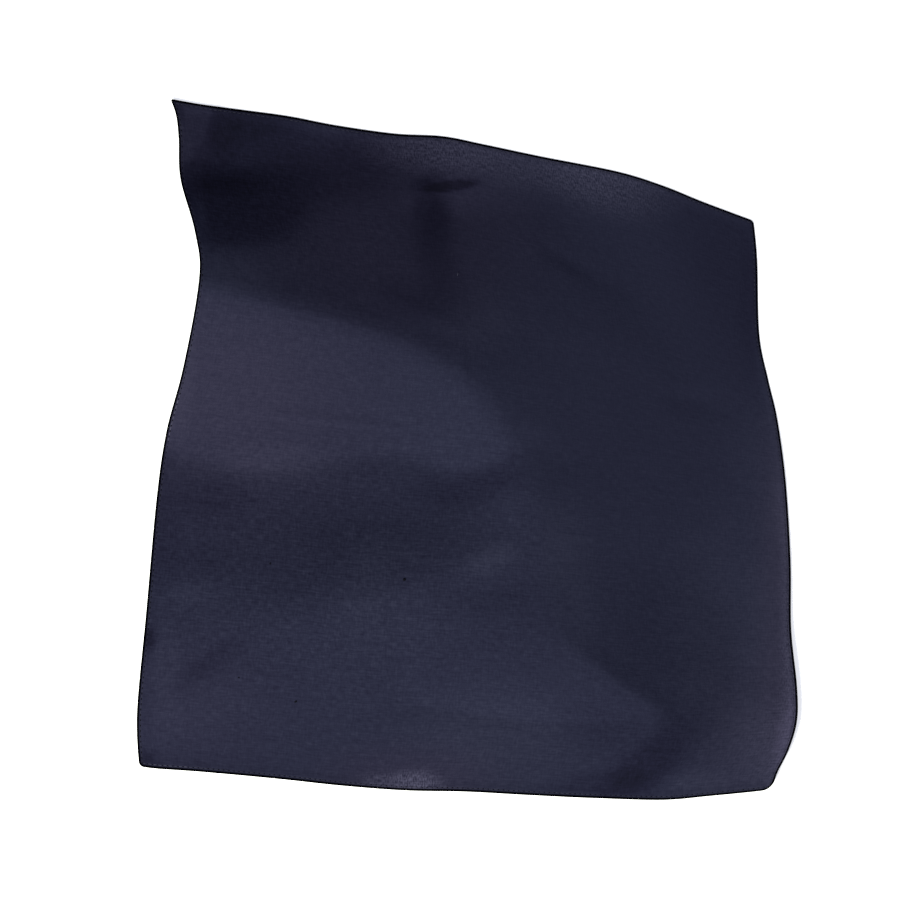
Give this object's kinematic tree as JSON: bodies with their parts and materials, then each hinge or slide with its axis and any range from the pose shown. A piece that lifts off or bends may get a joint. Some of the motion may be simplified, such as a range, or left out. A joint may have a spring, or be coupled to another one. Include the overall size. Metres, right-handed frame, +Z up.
{
  "type": "bandana",
  "caption": "Plain dark navy woven cotton bandana, a hemmed square lying loosely open on a surface with a long soft fold across it.",
  "frame": {"origin": "centre of the footprint, on the surface that the cloth lies on", "axes": "+Z up off the surface and out of the face side; +Y towards the top edge; +X towards the right edge"},
  "size_m": [0.5472, 0.5814, 0.0488],
  "materials": {
    "cloth": "fine plain-weave cotton lawn, dark navy, matt, slightly see-through",
    "hem": "the same cotton turned under, three layers, darker and opaque",
    "thread": "spun cotton sewing thread, dark navy, matt"
  },
  "bodies": {
    "root": {"panel": "cloth", "hem_left": "hem", "hem_right": "hem", "hem_bottom": "hem", "hem_top": "hem"}
  },
  "joints": []
}
